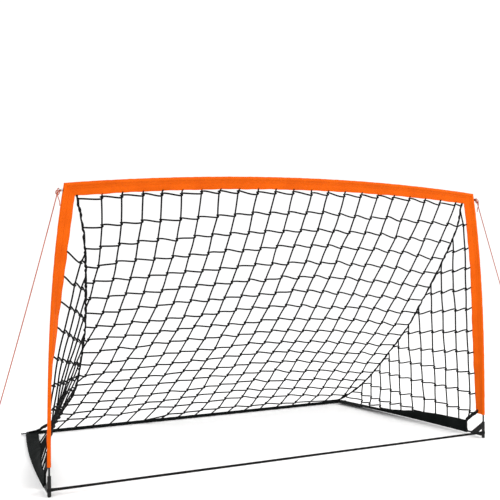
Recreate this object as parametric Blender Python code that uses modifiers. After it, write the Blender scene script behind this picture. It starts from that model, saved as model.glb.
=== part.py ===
"""Portable soccer goal frame.

A bowed arch of rods in cloth sleeves plugs into two corner brackets.  A rod runs back from each
bracket to a bar on the ground behind the goal, and a net hangs between them.  Units are metres,
+X is to the right seen from the field, +Y points back into the goal, +Z is up, and the origin is
on the ground under the middle of the frame.
"""
import bmesh
import bpy
from math import cos, pi, radians, sin
from mathutils import Matrix, Vector

# ---------------------------------------------------------------- driving dimensions
FOOT_SPAN = 1.830        # between the axes of the two bracket sockets
TOP_SPAN = 1.710         # between the rod axes at the two top corners
BACK_SPAN = 1.600        # between the two rear corners
CORNER_HEIGHT = 1.024    # rod axis at a top corner
CROWN_RISE = 0.0416      # how far the crossbar bows up between its corners
FRAME_DEPTH = 0.935      # bracket socket axis to back bar axis
LEAN = (FOOT_SPAN - TOP_SPAN) / 2.0
LEAN_POWER = 2.8         # the uprights stand straight below and lean in near the top

GAP = 0.0003             # between pieces that touch
ROD_R = 0.0035           # fibreglass rod
BORE_R = 0.0038          # every socket that takes a rod
FERRULE_R = 0.0046
FERRULE_LENGTH = 0.060
ELBOW_R = 0.0049
ELBOW_LEG = 0.046
SLEEVE_BORE = 0.0054     # hollow of a cloth sleeve round its rod
SLEEVE_R = 0.0064
FLAP = 0.040             # rod axis to the inner edge of a frame sleeve
FLAP_HALF = 0.0014       # half the thickness of the flap
SLEEVE_BOTTOM = 0.098    # height of the cut end of an upright's sleeve
FLAP_TOP_TURN = radians(75.0)
FLAP_TURN_HEIGHTS = {-1: (0.12, 0.95), 1: (0.02, 0.75)}

TUBE_R = 0.0065          # upright tube of a corner bracket
TUBE_BOTTOM = 0.0048
TUBE_TOP = 0.068
LEG_R = 0.0055
LEG_HEIGHT = 0.0118
LEG_LENGTH = 0.070
SOCKET_FLOOR = 0.016     # height where the pole's lower end stands
LEG_SOCKET_START = 0.024
PLATE_HALF = 0.0015
FOOT_R = 0.0068

REAR_R = 0.0070          # rear elbow and the cloth sleeve of the back bar
REAR_LEG = 0.026
SIDE_BOW = 0.016         # how far a side rod bows out
SKIRT_START = 0.095      # behind the bracket
SKIRT_FLAP = 0.046
SKIRT_TURN = radians(84.0)

STRAP_HEIGHT = 0.009
STRAP_Z = 0.0225
STRAP_HALF = 0.0005
STRAP_LOOP_R = TUBE_R + GAP + 2 * STRAP_HALF

NET_HALF = 0.0012        # half the thickness of a net panel
NET_CLEAR = 0.007        # between a net panel and the cloth that it hangs from
ROPE_R = 0.0015
ROPE_END_X = 1.172       # where a guy rope meets the ground, beside the goal
ROPE_END_FORWARD = 0.080

FRONT_Y = (STRAP_LOOP_R - REAR_R - FRAME_DEPTH) / 2.0
BACK_Y = FRONT_Y + FRAME_DEPTH
SIDES = {"left": -1, "right": 1}

# Seams between the back net and the side nets, top to bottom: x outward, y from the front, z.
SEAMS = {
    "left": [(0.812, 0.017, 0.979), (0.786, 0.057, 0.905), (0.754, 0.135, 0.785), (0.724, 0.247, 0.630),
             (0.700, 0.356, 0.493), (0.684, 0.490, 0.350), (0.671, 0.610, 0.242), (0.687, 0.700, 0.160),
             (0.725, 0.827, 0.066), (0.760, 0.916, 0.017)],
    "right": [(0.812, 0.017, 0.979), (0.829, 0.060, 0.900), (0.835, 0.120, 0.810), (0.832, 0.207, 0.686),
              (0.826, 0.312, 0.548), (0.822, 0.409, 0.430), (0.813, 0.578, 0.268), (0.803, 0.723, 0.142),
              (0.780, 0.830, 0.064), (0.762, 0.916, 0.017)],
}


# ---------------------------------------------------------------- scene and materials
def clear_scene():
    for item in list(bpy.data.objects):
        bpy.data.objects.remove(item, do_unlink=True)


clear_scene()
PARTS = bpy.data.collections.new("soccer_goal_frame")
CUTTERS = bpy.data.collections.new("cutters")
bpy.context.scene.collection.children.link(PARTS)
bpy.context.scene.collection.children.link(CUTTERS)


def material(name, color, roughness, metallic=0.0):
    made = bpy.data.materials.new(name)
    made.use_nodes = True
    shader = made.node_tree.nodes["Principled BSDF"]
    shader.inputs["Base Color"].default_value = (*color, 1.0)
    shader.inputs["Roughness"].default_value = roughness
    shader.inputs["Metallic"].default_value = metallic
    return made


BLACK_ROD = material("black_fibreglass", (0.015, 0.015, 0.016), 0.35)
BLACK_STEEL = material("black_steel", (0.012, 0.012, 0.013), 0.4, 0.6)
FERRULE_STEEL = material("ferrule_steel", (0.42, 0.43, 0.44), 0.35, 0.9)
BLACK_PLASTIC = material("black_plastic", (0.02, 0.02, 0.021), 0.5)
BLACK_RUBBER = material("black_rubber", (0.018, 0.018, 0.018), 0.8)
ORANGE_CLOTH = material("orange_oxford_cloth", (0.92, 0.13, 0.005), 0.7)
BLACK_CLOTH = material("black_oxford_cloth", (0.014, 0.015, 0.015), 0.85)
BLACK_WEBBING = material("black_webbing", (0.012, 0.012, 0.012), 0.85)
BLACK_NET = material("black_net_cord", (0.01, 0.01, 0.011), 0.8)
ROPE_CORD = material("orange_rope", (0.80, 0.16, 0.08), 0.75)


def smooth(mesh, angle=40.0):
    mesh.shade_smooth()
    mesh.set_sharp_from_angle(angle=radians(angle))


def place(name, mesh, finish, collection=None):
    made = bpy.data.objects.new(name, mesh)
    (collection or PARTS).objects.link(made)
    mesh.materials.clear()
    mesh.materials.append(finish)
    smooth(mesh)
    return made


def new_mesh(name, verts, faces):
    mesh = bpy.data.meshes.new(name)
    mesh.from_pydata([tuple(v) for v in verts], [], faces)
    builder = bmesh.new()
    builder.from_mesh(mesh)
    bmesh.ops.recalc_face_normals(builder, faces=builder.faces)
    builder.to_mesh(mesh)
    builder.free()
    return mesh


# ---------------------------------------------------------------- paths of the frame
def pole_point(side, height):
    """Axis of an upright at a height."""
    x = FOOT_SPAN / 2.0 - LEAN * (height / CORNER_HEIGHT) ** LEAN_POWER
    return Vector((side * x, FRONT_Y, height))


def crossbar_point(x):
    """Axis of the crossbar at a distance from the middle."""
    rise = CROWN_RISE * (1.0 - (x / (TOP_SPAN / 2.0)) ** 2)
    return Vector((x, FRONT_Y, CORNER_HEIGHT + rise))


def side_rod_point(side, share):
    """Axis of a side rod, from the bracket at share 0 to the rear corner at share 1."""
    x = FOOT_SPAN / 2.0 + (BACK_SPAN - FOOT_SPAN) / 2.0 * share + SIDE_BOW * 4.0 * share * (1.0 - share)
    z = LEG_HEIGHT + (REAR_R - LEG_HEIGHT) * share
    return Vector((side * x, FRONT_Y + FRAME_DEPTH * share, z))


def bar_point(x):
    return Vector((x, BACK_Y, REAR_R))


def steps(start, end, count):
    return [start + (end - start) * i / count for i in range(count + 1)]


def ease(value, low, high):
    share = min(max((value - low) / (high - low), 0.0), 1.0)
    return share * share * (3.0 - 2.0 * share)


def smooth_curve(points, count):
    """Catmull-Rom curve through the points, sampled evenly in their order."""
    points = [Vector(p) for p in points]
    ends = [2 * points[0] - points[1]] + points + [2 * points[-1] - points[-2]]
    samples = []
    for i in range(count + 1):
        place_on = i * (len(points) - 1) / count
        k = min(int(place_on), len(points) - 2)
        t = place_on - k
        a, b, c, d = ends[k:k + 4]
        samples.append(0.5 * (2 * b + (c - a) * t + (2 * a - 5 * b + 4 * c - d) * t * t
                              + (3 * b - a - 3 * c + d) * t ** 3))
    return samples


# ---------------------------------------------------------------- shape builders
def rod(name, points, radius, finish, resolution=2):
    """A round rod or cord along the points, as a bevelled curve made into a mesh."""
    curve = bpy.data.curves.new(name, "CURVE")
    curve.dimensions = "3D"
    curve.bevel_depth = radius
    curve.bevel_resolution = resolution
    curve.use_fill_caps = True
    spline = curve.splines.new("POLY")
    spline.points.add(len(points) - 1)
    for slot, point in zip(spline.points, points):
        slot.co = (*point, 1.0)
    guide = bpy.data.objects.new(name + "_curve", curve)
    CUTTERS.objects.link(guide)
    bpy.context.view_layer.update()
    mesh = bpy.data.meshes.new_from_object(guide.evaluated_get(bpy.context.evaluated_depsgraph_get()))
    builder = bmesh.new()
    builder.from_mesh(mesh)
    bmesh.ops.remove_doubles(builder, verts=builder.verts, dist=0.00001)
    bmesh.ops.recalc_face_normals(builder, faces=builder.faces)
    builder.to_mesh(mesh)
    builder.free()
    bpy.data.objects.remove(guide, do_unlink=True)
    mesh.name = name
    return place(name, mesh, finish)


def cylinder(name, start, end, radius, finish, collection=None, sides=20):
    axis = end - start
    builder = bmesh.new()
    bmesh.ops.create_cone(builder, cap_ends=True, segments=sides, radius1=radius, radius2=radius,
                          depth=axis.length)
    turn = Vector((0, 0, 1)).rotation_difference(axis.normalized()).to_matrix().to_4x4()
    builder.transform(Matrix.Translation((start + end) / 2.0) @ turn)
    mesh = bpy.data.meshes.new(name)
    builder.to_mesh(mesh)
    builder.free()
    return place(name, mesh, finish, collection)


def ball(name, centre, radius, finish, collection=None):
    builder = bmesh.new()
    bmesh.ops.create_uvsphere(builder, u_segments=20, v_segments=12, radius=radius)
    builder.transform(Matrix.Translation(centre))
    mesh = bpy.data.meshes.new(name)
    builder.to_mesh(mesh)
    builder.free()
    return place(name, mesh, finish, collection)


def box(name, low, high, finish, collection=None):
    builder = bmesh.new()
    bmesh.ops.create_cube(builder, size=1.0)
    low = Vector(low)
    high = Vector(high)
    scale = Matrix.Diagonal((*(high - low), 1.0))
    builder.transform(Matrix.Translation((low + high) / 2.0) @ scale)
    mesh = bpy.data.meshes.new(name)
    builder.to_mesh(mesh)
    builder.free()
    return place(name, mesh, finish, collection)


def boolean(target, tool, operation):
    """Join or cut the target with the tool, which stays as a hidden guide."""
    change = target.modifiers.new(operation.lower(), "BOOLEAN")
    change.operation = operation
    change.object = tool
    tool.hide_render = True
    tool.display_type = "WIRE"


def ring_loft(name, outer_rings, inner_rings, finish):
    """A hollow tube through matching rings: an outer skin, an inner skin and two open rims."""
    count = len(outer_rings[0])
    last = len(outer_rings) - 1
    verts = [point for ring in outer_rings + inner_rings for point in ring]
    inner_start = len(outer_rings) * count
    faces = []
    for row in range(last):
        for k in range(count):
            nxt = (k + 1) % count
            low, high = row * count, (row + 1) * count
            faces.append((low + k, low + nxt, high + nxt, high + k))
            low, high = low + inner_start, high + inner_start
            faces.append((low + nxt, low + k, high + k, high + nxt))
    for row in (0, last):
        for k in range(count):
            nxt = (k + 1) % count
            outer, inner = row * count, row * count + inner_start
            faces.append((outer + k, outer + nxt, inner + nxt, inner + k))
    return place(name, new_mesh(name, verts, faces), finish)


def tangents(points):
    ends = [points[0]] + points + [points[-1]]
    return [(ends[i + 2] - ends[i]).normalized() for i in range(len(points))]


def round_tube(name, points, outer, inner, finish, sides=14):
    """A hollow round tube along a path."""
    outer_rings, inner_rings = [], []
    for point, axis in zip(points, tangents(points)):
        across = axis.cross(Vector((0, 1, 0)) if abs(axis.y) < 0.7 else Vector((0, 0, 1))).normalized()
        upward = axis.cross(across)
        spokes = [across * cos(2 * pi * k / sides) + upward * sin(2 * pi * k / sides) for k in range(sides)]
        outer_rings.append([point + spoke * outer for spoke in spokes])
        inner_rings.append([point + spoke * inner for spoke in spokes])
    return ring_loft(name, outer_rings, inner_rings, finish)


def flap_section(flap):
    """Outline of a sleeve that is sewn flat beside its rod: (along the flap, across it)."""
    turns = [35, 65, 95, 125, 155, 180, 205, 235, 265, 295, 325]
    outer = [(flap, FLAP_HALF), (0.014, 0.0030)]
    outer += [(SLEEVE_R * cos(radians(a)), SLEEVE_R * sin(radians(a))) for a in turns]
    outer += [(0.014, -0.0030), (flap, -FLAP_HALF)]
    inner_turns = [3, 18] + turns + [342, 357]
    inner = [(SLEEVE_BORE * cos(radians(a)), SLEEVE_BORE * sin(radians(a))) for a in inner_turns]
    return outer, inner


def flap_sleeve(name, points, flap_ways, flap, finish, start_plane=None, end_plane=None):
    """A hollow sleeve along a rod, with its sewn flap turned the given way at each point."""
    outer, inner = flap_section(flap)
    outer_rings, inner_rings = [], []
    planes = [start_plane] + [None] * (len(points) - 2) + [end_plane]
    for point, axis, way, plane in zip(points, tangents(points), flap_ways, planes):
        along = (way - axis * way.dot(axis)).normalized()
        across = axis.cross(along)
        for section, rings in ((outer, outer_rings), (inner, inner_rings)):
            ring = [point + along * u + across * v for u, v in section]
            if plane:
                origin, normal = plane
                ring = [p + axis * ((origin - p).dot(normal) / axis.dot(normal)) for p in ring]
            rings.append(ring)
    return ring_loft(name, outer_rings, inner_rings, finish)


def net_panel(name, first_edge, second_edge, finish, across=8, bulge=None):
    """A thin net panel ruled between two edges; bulge moves a point (share across, share along)."""
    verts, faces = [], []
    rows = len(first_edge)
    for i, (a, b) in enumerate(zip(first_edge, second_edge)):
        for k in range(across + 1):
            share = k / across
            point = a.lerp(b, share)
            if bulge:
                point = point + bulge(share, i / (rows - 1))
            verts.append(point)
    for i in range(rows - 1):
        for k in range(across):
            corner = i * (across + 1) + k
            faces.append((corner, corner + 1, corner + across + 2, corner + across + 1))
    panel = place(name, new_mesh(name, verts, faces), finish)
    thick = panel.modifiers.new("thickness", "SOLIDIFY")
    thick.thickness = 2 * NET_HALF
    thick.offset = 0.0
    return panel


# ---------------------------------------------------------------- corner brackets and feet
def bracket_frame(side):
    """Start and direction of a bracket's backward leg."""
    front = side_rod_point(side, 0.02)
    back = side_rod_point(side, 0.09)
    way = (back - front).normalized()
    start = front - way * ((front.y - FRONT_Y) / way.y)
    return start, way


def gusset(name, side, start, way):
    """Flat brace between tube and leg, with the small triangular hole that the strap uses."""
    outline = [(0.0, 0.009), (0.066, 0.0095), (0.069, 0.0145), (0.0045, 0.0665), (0.0, 0.0665)]
    hole = [(0.0050, 0.0165), (0.0300, 0.0165), (0.0050, 0.0400)]
    curve = bpy.data.curves.new(name, "CURVE")
    curve.dimensions = "2D"
    curve.fill_mode = "BOTH"
    curve.extrude = PLATE_HALF
    for loop in (outline, hole):
        spline = curve.splines.new("POLY")
        spline.points.add(len(loop) - 1)
        for slot, (u, v) in zip(spline.points, loop):
            slot.co = (u, v, 0.0, 1.0)
        spline.use_cyclic_u = True
    guide = bpy.data.objects.new(name, curve)
    CUTTERS.objects.link(guide)
    forward = Vector((way.x, way.y, 0.0)).normalized()
    upward = Vector((0, 0, 1))
    sideways = forward.cross(upward)
    guide.matrix_world = Matrix((
        (forward.x, upward.x, sideways.x, start.x),
        (forward.y, upward.y, sideways.y, start.y),
        (forward.z, upward.z, sideways.z, 0.0),
        (0.0, 0.0, 0.0, 1.0)))
    bpy.context.view_layer.update()
    mesh = bpy.data.meshes.new_from_object(guide.evaluated_get(bpy.context.evaluated_depsgraph_get()))
    mesh.transform(guide.matrix_world)
    builder = bmesh.new()
    builder.from_mesh(mesh)
    bmesh.ops.remove_doubles(builder, verts=builder.verts, dist=0.00001)
    bmesh.ops.recalc_face_normals(builder, faces=builder.faces)
    builder.to_mesh(mesh)
    builder.free()
    bpy.data.objects.remove(guide, do_unlink=True)
    return place(name, mesh, BLACK_STEEL, CUTTERS)


def corner_bracket(label, side):
    start, way = bracket_frame(side)
    foot = Vector((side * FOOT_SPAN / 2.0, FRONT_Y, 0.0))
    lift = Vector((0, 0, 1))
    name = label + "_corner_bracket"
    bracket = cylinder(name, foot + lift * TUBE_BOTTOM, foot + lift * TUBE_TOP, TUBE_R, BLACK_STEEL, sides=24)
    leg = cylinder(label + "_leg", start, start + way * LEG_LENGTH, LEG_R, BLACK_STEEL, CUTTERS)
    boolean(bracket, leg, "UNION")
    boolean(bracket, gusset(label + "_gusset", side, start, way), "UNION")
    pocket = cylinder(label + "_pole_pocket", foot + lift * SOCKET_FLOOR, foot + lift * 0.08, BORE_R,
                      BLACK_STEEL, CUTTERS)
    boolean(bracket, pocket, "DIFFERENCE")
    plug_bore = cylinder(label + "_plug_bore", foot, foot + lift * 0.0115, 0.0045, BLACK_STEEL, CUTTERS)
    boolean(bracket, plug_bore, "DIFFERENCE")
    rod_pocket = cylinder(label + "_rod_pocket", start + way * LEG_SOCKET_START, start + way * 0.08,
                          BORE_R, BLACK_STEEL, CUTTERS)
    boolean(bracket, rod_pocket, "DIFFERENCE")
    return bracket


def foot_cap(label, side):
    """Rubber plug in the tube's lower end, turned from its profile."""
    profile = [(0.0, 0.0110), (0.0042, 0.0110), (0.0042, 0.0045), (FOOT_R, 0.0045), (FOOT_R, 0.0034),
               (0.0058, 0.0010), (0.0046, 0.0), (0.0, 0.0)]
    mesh = bpy.data.meshes.new(label + "_foot_cap")
    edges = [(i, i + 1) for i in range(len(profile) - 1)]
    mesh.from_pydata([(r, 0.0, z) for r, z in profile], edges, [])
    cap = place(label + "_foot_cap", mesh, BLACK_RUBBER)
    turn = cap.modifiers.new("turn", "SCREW")
    turn.steps = 20
    turn.render_steps = 20
    turn.use_merge_vertices = True
    turn.merge_threshold = 0.00001
    cap.location = (side * FOOT_SPAN / 2.0, FRONT_Y, 0.0)
    return cap


# ---------------------------------------------------------------- base: rods, bar, elbows
def joined_rods(stem, path, cuts, names, ferrule_names):
    """Rods end to end along a path of share 0 to 1, with a ferrule over each meeting."""
    for name, (low, high) in zip(names, zip(cuts[:-1], cuts[1:])):
        inset_low = 0.0002 if low > cuts[0] else 0.0
        inset_high = 0.0002 if high < cuts[-1] else 0.0
        rod(name, [path(s) for s in steps(low + inset_low, high - inset_high, 9)], ROD_R, BLACK_ROD)
    length = sum((path(b) - path(a)).length for a, b in zip(steps(0, 1, 40), steps(0, 1, 40)[1:]))
    half = FERRULE_LENGTH / 2.0 / length
    for name, cut in zip(ferrule_names, cuts[1:-1]):
        spots = [path(s) for s in steps(cut - half, cut + half, 2)]
        round_tube(name, spots, FERRULE_R, BORE_R, FERRULE_STEEL, sides=12)


def elbow(name, apex, first_way, second_way, outer, leg, finish):
    """Moulded corner: two round legs and a ball, with a rod pocket in each leg."""
    made = cylinder(name, apex, apex + first_way * leg, outer, finish, sides=16)
    second = cylinder(name + "_leg", apex, apex + second_way * leg, outer, finish, CUTTERS, 16)
    boolean(made, second, "UNION")
    boolean(made, ball(name + "_ball", apex, outer, finish, CUTTERS), "UNION")
    for number, way in enumerate((first_way, second_way)):
        pocket = cylinder(f"{name}_pocket_{number}", apex + way * 0.008, apex + way * (leg + 0.01), BORE_R,
                          finish, CUTTERS, 16)
        boolean(made, pocket, "DIFFERENCE")
    return made


def side_rods(label, side):
    start = (LEG_SOCKET_START + 0.0005) / FRAME_DEPTH
    end = 1.0 - 0.0088 / FRAME_DEPTH
    joined_rods(label, lambda s: side_rod_point(side, s), [start, 0.52, end],
                [label + "_side_rod_front", label + "_side_rod_rear"], [label + "_side_ferrule"])


def rear_elbow(label, side):
    apex = side_rod_point(side, 1.0)
    along_rod = (side_rod_point(side, 0.985) - apex).normalized()
    along_bar = Vector((-side, 0, 0))
    return elbow(label + "_rear_elbow", apex, along_rod, along_bar, REAR_R, REAR_LEG, BLACK_PLASTIC)


def back_bar():
    reach = BACK_SPAN / 2.0 - 0.0088

    def path(share):
        return bar_point(-reach + 2 * reach * share)
    joined_rods("back", path, [0.0, 0.5, 1.0], ["back_bar_left", "back_bar_right"], ["back_bar_ferrule"])
    sleeve_reach = BACK_SPAN / 2.0 - REAR_LEG - 0.0005
    spots = [bar_point(x) for x in steps(-sleeve_reach, sleeve_reach, 8)]
    round_tube("back_bar_sleeve", spots, REAR_R, SLEEVE_BORE, BLACK_CLOTH)


def skirt_flap_way(side, share):
    """A skirt stands up beside the bracket and lies down towards the rear corner."""
    turn = SKIRT_TURN * ease(share, 0.10, 0.85)
    return Vector((-side * sin(turn), 0.0, cos(turn)))


def skirt_shares():
    return steps(SKIRT_START / FRAME_DEPTH, 1.0 - (REAR_LEG + 0.0008) / FRAME_DEPTH, 12)


def skirt(label, side):
    shares = skirt_shares()
    points = [side_rod_point(side, s) for s in shares]
    ways = [skirt_flap_way(side, s) for s in shares]
    return flap_sleeve(label + "_skirt", points, ways, SKIRT_FLAP, BLACK_CLOTH)


def strap_bar(name, start, end, face, width, finish, end_gap=0.0):
    """A flat strap between two points, its width along face."""
    way = (end - start).normalized()
    across = (face - way * face.dot(way)).normalized()
    thin = way.cross(across)
    rings = []
    for point in (start + way * end_gap, end - way * end_gap):
        for a, b in ((-1, -1), (1, -1), (1, 1), (-1, 1)):
            rings.append(point + across * (a * width / 2.0) + thin * (b * 0.0006))
    faces = [(0, 1, 2, 3), (4, 5, 6, 7), (0, 1, 5, 4), (1, 2, 6, 5), (2, 3, 7, 6), (3, 0, 4, 7)]
    return place(name, new_mesh(name, rings, faces), finish)


def skirt_strap(label, side):
    """Webbing from the skirt's front upper corner to the upright sleeve's lower inner corner."""
    share = SKIRT_START / FRAME_DEPTH
    corner = side_rod_point(side, share) + skirt_flap_way(side, share) * SKIRT_FLAP
    low = corner + Vector((0.0, 0.003, 0.0058))
    high = pole_point(side, SLEEVE_BOTTOM - 0.0058) + flap_way(side, SLEEVE_BOTTOM) * (FLAP - 0.004)
    strap_bar(label + "_skirt_strap", low, high, Vector((0, 1, 1)), 0.010, BLACK_WEBBING)


def front_strap():
    reach = FOOT_SPAN / 2.0
    corner = Vector((reach - TUBE_R - GAP - STRAP_HALF, STRAP_HALF, STRAP_HEIGHT / 2.0))
    middle = Vector((0.0, FRONT_Y, STRAP_Z))
    strap = box("front_strap", middle - corner, middle + corner, BLACK_WEBBING)
    for label, side in SIDES.items():
        foot = Vector((side * reach, FRONT_Y, STRAP_Z))
        half = Vector((0, 0, STRAP_HEIGHT / 2.0))
        loop = round_tube(label + "_strap_loop", [foot - half, foot + half], STRAP_LOOP_R, TUBE_R + GAP,
                          BLACK_WEBBING, sides=24)
        PARTS.objects.unlink(loop)
        CUTTERS.objects.link(loop)
        boolean(strap, loop, "UNION")


def peg_loop(label, side):
    """Small webbing tab at the rear corner, where a ground peg goes."""
    corner = side_rod_point(side, 1.0)
    near = side * (BACK_SPAN / 2.0 + REAR_R + 0.0014)
    far = near + side * 0.020
    low = Vector((min(near, far), corner.y - 0.005, REAR_R - 0.0008))
    high = Vector((max(near, far), corner.y + 0.005, REAR_R + 0.0008))
    loop = box(label + "_peg_loop", low, high, BLACK_WEBBING)
    rim = Vector((0.004, 0.0026, -0.002))
    hole = box(label + "_peg_hole", low + rim, high - rim, BLACK_WEBBING, CUTTERS)
    boolean(loop, hole, "DIFFERENCE")
    return loop


# ---------------------------------------------------------------- arch: poles, elbows, sleeves
def flap_way(side, height):
    """The flap points back at the bottom of an upright and turns inward towards the top."""
    low, high = FLAP_TURN_HEIGHTS[side]
    turn = radians(4.0) + (FLAP_TOP_TURN - radians(4.0)) * ease(height, low, high)
    return Vector((-side * sin(turn), cos(turn), 0.0))


CROSSBAR_FLAP = Vector((0.0, cos(FLAP_TOP_TURN), -sin(FLAP_TOP_TURN)))


def top_corner(side):
    """Apex of a top corner and the ways its two legs run."""
    apex = pole_point(side, CORNER_HEIGHT)
    down = (pole_point(side, CORNER_HEIGHT - 0.045) - pole_point(side, CORNER_HEIGHT - 0.004)).normalized()
    inner_x = side * TOP_SPAN / 2.0
    along = (crossbar_point(inner_x - side * 0.045) - crossbar_point(inner_x - side * 0.004)).normalized()
    return apex, down, along


def upright_poles(label, side):
    end = CORNER_HEIGHT - 0.0085

    def path(share):
        return pole_point(side, SOCKET_FLOOR + 0.0005 + (end - SOCKET_FLOOR - 0.0005) * share)
    joined_rods(label, path, [0.0, 0.5, 1.0],
                [label + "_upright_pole_lower", label + "_upright_pole_upper"], [label + "_upright_ferrule"])


def crossbar_poles():
    reach = TOP_SPAN / 2.0 - 0.0085

    def path(share):
        return crossbar_point(-reach + 2 * reach * share)
    joined_rods("crossbar", path, [0.0, 1 / 3, 2 / 3, 1.0],
                ["crossbar_pole_left", "crossbar_pole_middle", "crossbar_pole_right"],
                ["crossbar_ferrule_left", "crossbar_ferrule_right"])


def mitre(side, shift):
    """Plane halfway between the two legs of a top corner, moved along the crossbar by shift."""
    apex, down, along = top_corner(side)
    normal = (along - down).normalized()
    return apex + normal * shift, normal


def upright_sleeve(label, side):
    heights = steps(SLEEVE_BOTTOM, CORNER_HEIGHT - 0.060, 14) + [CORNER_HEIGHT]
    points = [pole_point(side, z) for z in heights]
    ways = [flap_way(side, z) for z in heights]
    flap_sleeve(label + "_sleeve", points, ways, FLAP, ORANGE_CLOTH, end_plane=mitre(side, -GAP / 2))


def crossbar_sleeve():
    reach = TOP_SPAN / 2.0
    inner = steps(-reach + 0.060, reach - 0.060, 18)
    points = [crossbar_point(x) for x in [-reach] + inner + [reach]]
    ways = [CROSSBAR_FLAP] * len(points)
    flap_sleeve("crossbar_sleeve", points, ways, FLAP, ORANGE_CLOTH,
                start_plane=mitre(-1, GAP / 2), end_plane=mitre(1, GAP / 2))


# ---------------------------------------------------------------- nets
def seam(label, count=20):
    side = SIDES[label]
    return smooth_curve([(side * x, FRONT_Y + y, z) for x, y, z in SEAMS[label]], count)


def back_net():
    """The back net sags a little more between its two seams, and its ends follow bar and crossbar."""
    def bulge(across, along):
        rise = 4.0 * across * (1.0 - across)
        at_top = max(0.0, 1.0 - along / 0.35)
        return Vector((0.0, -0.006 * sin(pi * along) * rise, rise * (CROWN_RISE - 0.004) * at_top))
    return net_panel("back_net", seam("left"), seam("right"), BLACK_NET, across=12, bulge=bulge)


def side_net(label, side):
    """A triangle between the upright's flap, the skirt's upper edge and the seam."""
    heights = steps(0.955, 0.115, 10)
    edge = [pole_point(side, z) + flap_way(side, z) * (FLAP + NET_CLEAR) for z in heights]
    for share in steps(0.16, 0.93, 9):
        inner_edge = side_rod_point(side, share) + skirt_flap_way(side, share) * (SKIRT_FLAP + 0.004)
        edge.append(inner_edge + Vector((0.0, 0.0, 0.004)))
    seam_line = [p + Vector((side * 0.007, 0.0, 0.002)) for p in seam(label, len(edge) - 1)]
    return net_panel(label + "_net", edge, seam_line, BLACK_NET, across=6)


# ---------------------------------------------------------------- guy ropes
def guy_points(side):
    """Taut rope from the tab at the top corner to its ground loop, with the least sag."""
    top = pole_point(side, CORNER_HEIGHT - 0.016) + Vector((side * 0.0245, -0.001, -0.012))
    low = Vector((side * ROPE_END_X, FRONT_Y - ROPE_END_FORWARD, 0.034))
    return top, low


def guy_rope(label, side):
    top, low = guy_points(side)
    sag = Vector((side * -0.004, 0.0, -0.002))
    points = [top.lerp(low, s) + sag * (4.0 * s * (1.0 - s)) for s in steps(0.0, 1.0, 24)]
    rod(label + "_guy_rope", points, ROPE_R, ROPE_CORD)
    tab_root = pole_point(side, CORNER_HEIGHT - 0.016) + Vector((side * (SLEEVE_R + 0.0012), 0.0, 0.0))
    tab_tip = tab_root + Vector((side * 0.009, 0.0, -0.003))
    strap_bar(label + "_guy_tab", tab_root, tab_tip, Vector((0, 1, 0)), 0.009, BLACK_WEBBING)
    knot_centre = top + (top - low).normalized() * 0.0068
    ball(label + "_guy_knot", knot_centre + Vector((side * 0.0008, 0, 0)), 0.0050, ROPE_CORD)
    way = (low - top).normalized()
    loop_centre = low + way * 0.0175
    ground_loop(label + "_ground_loop", loop_centre, way, side)


def ground_loop(name, centre, way, side):
    """Knotted loop at the rope's lower end, where a ground peg holds it."""
    across = Vector((0.0, 1.0, 0.0))
    along = way
    ring = [centre + along * (0.0155 * cos(a)) + across * (0.010 * sin(a))
            for a in [pi + 0.30 + (2 * pi - 0.60) * i / 18 for i in range(19)]]
    return rod(name, ring, ROPE_R, ROPE_CORD)


# ---------------------------------------------------------------- the goal
for side_label, side_sign in SIDES.items():
    corner_bracket(side_label, side_sign)
    foot_cap(side_label, side_sign)
    side_rods(side_label, side_sign)
    rear_elbow(side_label, side_sign)
    skirt(side_label, side_sign)
    skirt_strap(side_label, side_sign)
    peg_loop(side_label, side_sign)
    upright_poles(side_label, side_sign)
    corner_apex, down_way, along_way = top_corner(side_sign)
    elbow(side_label + "_top_elbow", corner_apex, down_way, along_way, ELBOW_R, ELBOW_LEG, BLACK_PLASTIC)
    upright_sleeve(side_label, side_sign)
    side_net(side_label, side_sign)
    guy_rope(side_label, side_sign)
back_bar()
front_strap()
crossbar_poles()
crossbar_sleeve()
back_net()
bpy.context.view_layer.update()
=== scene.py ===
import math
import random

import bpy
import numpy as np
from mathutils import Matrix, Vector


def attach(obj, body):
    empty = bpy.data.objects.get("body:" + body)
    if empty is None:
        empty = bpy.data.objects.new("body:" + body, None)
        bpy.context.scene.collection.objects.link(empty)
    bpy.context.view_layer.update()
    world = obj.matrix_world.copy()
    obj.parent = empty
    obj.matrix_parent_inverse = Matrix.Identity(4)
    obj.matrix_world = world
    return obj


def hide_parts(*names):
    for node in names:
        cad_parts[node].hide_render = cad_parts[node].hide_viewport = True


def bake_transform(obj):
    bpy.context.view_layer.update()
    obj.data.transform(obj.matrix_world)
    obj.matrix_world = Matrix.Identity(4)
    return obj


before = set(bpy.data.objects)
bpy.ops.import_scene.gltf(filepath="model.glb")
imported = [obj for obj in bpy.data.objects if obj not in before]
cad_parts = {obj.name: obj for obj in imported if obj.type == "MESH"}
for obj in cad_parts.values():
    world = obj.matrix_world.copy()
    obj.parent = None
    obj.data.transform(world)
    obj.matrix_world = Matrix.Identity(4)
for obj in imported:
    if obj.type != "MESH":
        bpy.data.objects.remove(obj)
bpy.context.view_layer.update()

# ------------------------------------------------------ dimensions of the frame, in metres, as in the CAD
FOOT_SPAN = 1.830
TOP_SPAN = 1.710
BACK_SPAN = 1.600
CORNER_HEIGHT = 1.024
CROWN_RISE = 0.0416
FRAME_DEPTH = 0.935
LEAN = (FOOT_SPAN - TOP_SPAN) / 2.0
LEAN_POWER = 2.8
SLEEVE_R = 0.0064
FLAP = 0.040
SLEEVE_BOTTOM = 0.098
FLAP_TOP_TURN = math.radians(75.0)
FLAP_TURN_HEIGHTS = {-1: (0.12, 0.95), 1: (0.02, 0.75)}
TUBE_R = 0.0065
LEG_HEIGHT = 0.0118
REAR_R = 0.0070
REAR_LEG = 0.026
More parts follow.
